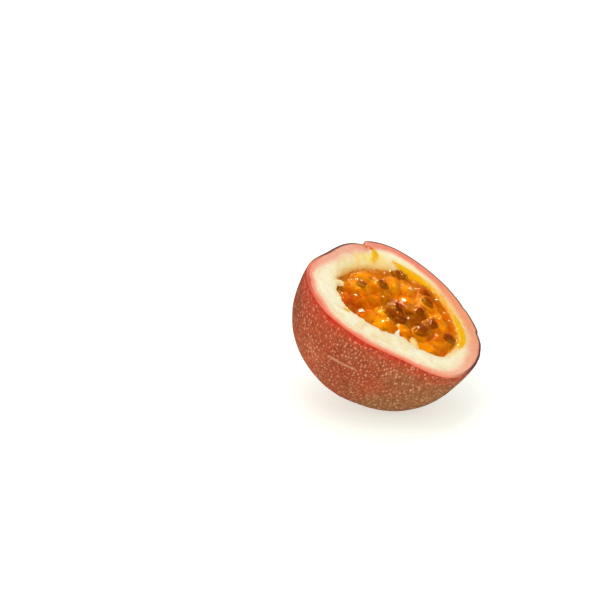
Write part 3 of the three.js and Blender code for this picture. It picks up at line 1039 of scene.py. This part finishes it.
def core_piece(sacs, material):
    """The clouded pulp under the clear jelly, down to the bottom of the hollow."""
    angles = all_round(PULP_SECTORS)
    edge = np.array([np.interp(CORE_EDGE, *wall_line(angle)) for angle in angles])
    share = (np.linspace(0, 1, CORE_ROWS) ** ROW_CROWDING)[:, None]
    top = circled(share * edge, angles)
    x, y = top[..., 0], top[..., 1]
    height = jelly_height(x, y, sacs, lower=CORE_COVER, narrow=0.9, with_seeds=False)
    height = height + 0.3 * lumps(top, 2.0, 41) + 0.1 * lumps(top, 0.9, 42)
    top[..., 2] = height + (CORE_EDGE - height) * smooth(share, 0.9, 1.0)
    falls = np.linspace(0, 78, 24)[::-1]
    below = hollow_point(*np.meshgrid(angles, falls), inset=CORE_GAP)
    below = below[below[:, :, 2].max(1) < CORE_EDGE - 0.6]
    points, faces = closed_rings(np.concatenate([top, below])[::-1])
    brown = near_places(points, BROWN_PLACES, BROWN_REACH) + 0.5 * lumps(points, 2.4, 44)
    tint = coated(
        linear(255, 210, 14),
        ((243, 176, 4), patches(points, 3.0, 43, -0.3, 0.5)),
        ((222, 112, 8), near_places(points, RED_PLACES, 3.6) * 0.8),
        ((160, 94, 12), np.clip(brown, 0, 1) * 0.9),
        # painted shade: the pulp darker and redder lower down in the hollow
        ((224, 134, 8), smooth(-points[:, 2], 3.8, 5.6) * 0.6),
    )
    return mesh_object("pulp_core", points, faces, [material], tint=tint)


def near_places(points, places, reach):
    """1 at any of the places, fading to 0 with the distance from them."""
    total = 0
    for px, py in places:
        total += np.exp(-((points[:, 0] - px) ** 2 + (points[:, 1] - py) ** 2) / reach**2)
    return np.clip(total, 0, 1)


def seed_shape(detail):
    """A ball narrowed to a point at one end and a little bent, for a seed."""
    bpy.ops.mesh.primitive_ico_sphere_add(subdivisions=detail, radius=1)
    source = bpy.context.object
    points = np.array([v.co for v in source.data.vertices], float)
    faces = [tuple(p.vertices) for p in source.data.polygons]
    bpy.data.objects.remove(source)
    narrow = 1 - 0.28 * smooth(points[:, 0], 0.2, 1.0) + 0.05 * points[:, 0]
    points[:, 1:] *= narrow[:, None]
    points[:, 1] += 0.08 * points[:, 0] ** 2
    return points, faces


def seeds_piece(sacs, material):
    """The seeds at the top and those of the hidden sacs. Sacs that show without one have none."""
    shape, faces = seed_shape(4)
    seeds = []
    for number, (x, y, turn, dip, size, top, seed_on_top) in enumerate(sacs):
        if len(TOP_SEEDS) <= number < len(TOP_SEEDS) + len(SHOWN_SACS):
            continue
        half = SEED * size / 2 * SEED_SHARE
        sink = TOP_SEEDS[number][3] if seed_on_top else HIDDEN_SINK
        pits = 1 - 0.05 * patches(shape * half + number * 7, 0.55, 51, 0.0, 0.7)
        along, across, up = (shape * half * pits[:, None]).T
        along, up = seen_from(0, 0, SEED_DIP * dip, along, up)
        along, across = seen_from(0, 0, -turn, along, across)
        seeds.append((at(x + along, y + across, up - top - sink - half[2]), faces))
    return mesh_object("seeds", *gathered(seeds), [material])


# Stubs of pith, as the solids have them: angle, radius of the tip, width, depth of the top.
# Then how blunt the tip is, how far it curls up, and the colours of tip and root.
STUBS = [
    (-62, 11.2, 2.4, 0.1, 0.12, 1.0, (255, 240, 200), (252, 238, 208)),
    (-41, 12.0, 2.6, 0.1, 0.45, 0.3, (255, 176, 60), (255, 216, 136)),
    (-152, 16.2, 2.2, 0.2, 0.90, 0.2, (255, 240, 196), (250, 222, 170)),
]
STUB_ROOT = 0.9  # how far the stubs run into the pith
STUB_FALL = 0.9  # how much lower they lie there
STUB_SIDES = 32
STUB_ROWS = 30
STUB_FLATNESS = 0.75  # height as a share of the width
STUB_FLARE = 1.25  # width at the root


def stubs_piece(material):
    """Stubs of pith that the sacs hung from, pointing in from the hollow's edge."""
    stubs, tints = [], []
    share = np.linspace(0, 1, STUB_ROWS + 1)
    b = np.radians(all_round(STUB_SIDES))
    for number, stub in enumerate(STUBS):
        angle, tip, width, top, blunt, curl, tip_colour, root_colour = stub
        reach = float(outline(HOLLOW_RADII, angle)) - tip + STUB_ROOT
        wide = width / 2 * (blunt + (STUB_FLARE - blunt) * share)
        wide = wide * np.sqrt(1 - (1 - np.clip(share / 0.3, 0, 1)) ** 2)
        wide = (wide * np.sqrt(np.clip((1 - share) / 0.08, 0, 1)))[:, None]
        local = at(reach * share[:, None], wide * np.cos(b), STUB_FLATNESS * wide * np.sin(b))
        crinkle = 0.22 * lumps(local + number * 11, 1.1, 61) + 0.1 * lumps(local, 0.5, 62)
        local[..., 1:] += (crinkle * smooth(share, 0, 0.1)[:, None])[..., None]
        out, aside = circled(1, angle), circled(1, angle + 90)
        fall = top + STUB_FLATNESS * width / 2 + STUB_FALL * share**2 - curl * (1 - share) ** 2
        rings = (tip + local[..., :1]) * out + local[..., 1:2] * aside
        rings[..., 2] += local[..., 2] - fall[:, None]
        stubs.append(closed_rings(rings[::-1]))
        tints.append(coated(
            linear(*tip_colour),
            (root_colour, smooth((stubs[-1][0] @ out - tip) / reach, 0.1, 0.5)),
            ((255, 170, 50), smooth(-stubs[-1][0][:, 2], 1.0, 2.6) * 0.8),
        ))
    tint = np.vstack(tints)
    wet = np.full(len(tint), 0.7)
    return mesh_object("stubs", *gathered(stubs), [material], tint=tint, wet=wet)


def flesh_height(x, y, inner):
    """Height of the pith at places on the cut, from the rows of its mesh."""
    radius = np.hypot(x, y)
    column = np.round(angle_at(x, y) * SECTORS / 360).astype(int) % SECTORS
    reach = np.hypot(inner[..., 0], inner[..., 1])
    height = np.empty_like(radius)
    for i in np.ndindex(radius.shape):
        c = column[i]
        height[i] = np.interp(radius[i], reach[::-1, c], inner[::-1, c, 2])
    return height


FILM_STEP = 0.35  # along a film, between its rows
FILM_HEIGHT = 0.22
FILM_ROOT = 0.25  # how far a film reaches into the pith


def juice_piece(inner, material):
    """Thin films of juice on the pith. Each fades out towards its edge."""
    across = np.linspace(-1, 1, 21)
    films, deep = [], []
    for mark in JUICE_MARKS[1:]:
        mark = np.array(mark)
        steps = np.concatenate([[0], np.cumsum(np.hypot(*np.diff(mark[:, :2], axis=0).T))])
        along = np.linspace(0, steps[-1], max(12, int(steps[-1] / FILM_STEP)))
        px, py, width = (np.interp(along, steps, mark[:, k]) for k in range(3))
        way = np.arctan2(np.gradient(py), np.gradient(px))
        ends = np.sqrt(np.clip(1 - np.abs(2 * along / steps[-1] - 1) ** 4, 0, 1))
        width = width * ends * (1 + 0.2 * lumps(at(px, py), 2.0, 71))
        x = px[:, None] - np.sin(way)[:, None] * across * width[:, None]
        y = py[:, None] + np.cos(way)[:, None] * across * width[:, None]
        ground = flesh_height(x, y, inner)
        swell = (1 - across**2) ** 2 * np.clip(width, 0, 1.2)[:, None]
        from_end = np.minimum(along, steps[-1] - along)
        fade = smooth(1 - np.abs(across), 0.05, 0.85) * smooth(from_end, 0.1, 1.2)[:, None]
        upper = at(x, y, ground - 0.03 + FILM_HEIGHT * swell)
        under = at(x, y, ground - FILM_ROOT)[:, ::-1]
        films.append(closed_rings(np.concatenate([upper, under], axis=1)))
        deep.append(row_values(np.concatenate([fade, fade], axis=1)))
    piece = mesh_object("juice", *gathered(films), [material], deep=np.concatenate(deep))
    piece.visible_shadow = False
    piece.visible_diffuse = False
    return piece


# ---- Camera, light and floor ----

CAMERA_AZIMUTH = 26  # as seen from above, from the side of -Y towards that of +X
CAMERA_ELEVATION = 22
LENS = 100
SENSOR = 36
IMAGE_WIDTH = 600
WHOLE_FRUIT_PIXELS = 183
WHOLE_FRUIT_WIDTH = 50
CUT_PIXEL = (397.6, 304.7)  # where the middle of the cut is
SKY = 0.75
SKY_IN_GLOSS = 0.10  # so that wet surfaces keep their colour
FLOOR_GLOW = 0.58
FLOOR_SIZE = 3.0
LAMP_AIM = 0.02  # how far above the table the lamps point, in metres

# Lamps: name, azimuth from the camera, elevation, distance, size, power, and which rays see them.
LAMPS = [
    ("overhead", -20, 76, 0.7, 0.30, 1.1, "diffuse"),
    ("left", -42, 30, 0.8, 0.20, 0.4, "all"),
    ("right", 26, 36, 0.8, 0.18, 0.4, "all"),
    ("glint_back", 185, 50, 0.7, 0.13, 3.4, "glossy"),
    ("glint_left", -110, 50, 0.7, 0.12, 2.0, "glossy"),
    ("glint_top", -60, 78, 0.7, 0.11, 2.2, "glossy"),
]


def direction(azimuth, elevation):
    a, e = math.radians(azimuth), math.radians(elevation)
    return Vector((math.sin(a) * math.cos(e), -math.cos(a) * math.cos(e), math.sin(e)))


def add_camera():
    per_pixel = WHOLE_FRUIT_WIDTH / WHOLE_FRUIT_PIXELS * MM
    distance = per_pixel * IMAGE_WIDTH * LENS / SENSOR
    back = direction(CAMERA_AZIMUTH, CAMERA_ELEVATION)
    right = direction(CAMERA_AZIMUTH + 90, 0)
    up = back.cross(right)
    aside, lower = ((pixel - IMAGE_WIDTH / 2) * per_pixel for pixel in CUT_PIXEL)
    target = Vector(to_part(np.zeros(3))) - right * aside + up * lower
    data = bpy.data.cameras.new("camera")
    data.lens = LENS
    data.sensor_width = SENSOR
    data.clip_start = 0.01
    camera = placed("camera", data)
    turn = Matrix((right, up, back)).transposed().to_4x4()
    camera.matrix_world = Matrix.Translation(target + back * distance) @ turn
    bpy.context.scene.camera = camera


def add_lamp(name, azimuth, elevation, distance, size, power, rays):
    """A soft lamp, placed by its direction from the object."""
    way = direction(CAMERA_AZIMUTH + azimuth, elevation)
    data = bpy.data.lights.new(name, "AREA")
    data.shape = "SQUARE"
    data.size = size
    data.energy = power
    lamp = placed(name, data)
    lamp.visible_diffuse = rays != "glossy"
    lamp.visible_glossy = rays != "diffuse"
    lamp.location = way * distance + Vector((0, 0, LAMP_AIM))
    lamp.rotation_euler = way.to_track_quat("Z", "Y").to_euler()


def add_world():
    world = bpy.data.worlds.new("studio")
    bpy.context.scene.world = world
    world.use_nodes = True
    nodes, links = world.node_tree.nodes, world.node_tree.links
    shade = nodes["Background"]
    shade.inputs["Color"].default_value = (1.0, 0.99, 0.97, 1)
    strength = nodes.new("ShaderNodeMapRange")
    strength.inputs["To Min"].default_value = SKY
    strength.inputs["To Max"].default_value = SKY_IN_GLOSS
    links.new(nodes.new("ShaderNodeLightPath").outputs["Is Glossy Ray"], strength.inputs["Value"])
    links.new(strength.outputs["Result"], shade.inputs["Strength"])


def add_floor():
    mesh = bpy.data.meshes.new("floor")
    corners = [(-1, -1), (1, -1), (1, 1), (-1, 1)]
    mesh.from_pydata([(x * FLOOR_SIZE, y * FLOOR_SIZE, 0) for x, y in corners], [], [(0, 1, 2, 3)])
    floor = placed("floor", mesh)
    look = Look("floor")
    shader = look.node(
        "BsdfPrincipled", Base_Color=(0.60, 0.64, 0.58), Roughness=0.7, Specular_IOR_Level=0.1,
        Emission_Color=(0.97, 1.0, 0.95), Emission_Strength=FLOOR_GLOW,
    )
    mesh.materials.append(look.finish(shader))
    floor.visible_glossy = False


# ---- Putting it together ----

bpy.context.scene.view_settings.view_transform = "Standard"

add_camera()
add_world()
for lamp in LAMPS:
    add_lamp(*lamp)
add_floor()

flesh = flesh_look()
sacs = lay_out_sacs()
skin_rows, lip_rows, flesh_rows = rough_rows()
rind = rind_piece(skin_rows, lip_rows, flesh_rows, skin_look(), flesh)
jelly = jelly_piece(sacs, jelly_look())
core = core_piece(sacs, core_look())
seeds = seeds_piece(sacs, seed_look())
stubs = stubs_piece(flesh)
juice = juice_piece(flesh_rows, juice_look())

for piece in (rind, jelly, core, seeds, stubs, juice):
    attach(piece, "root")
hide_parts("rind_shell")
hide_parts("pulp_with_seeds")
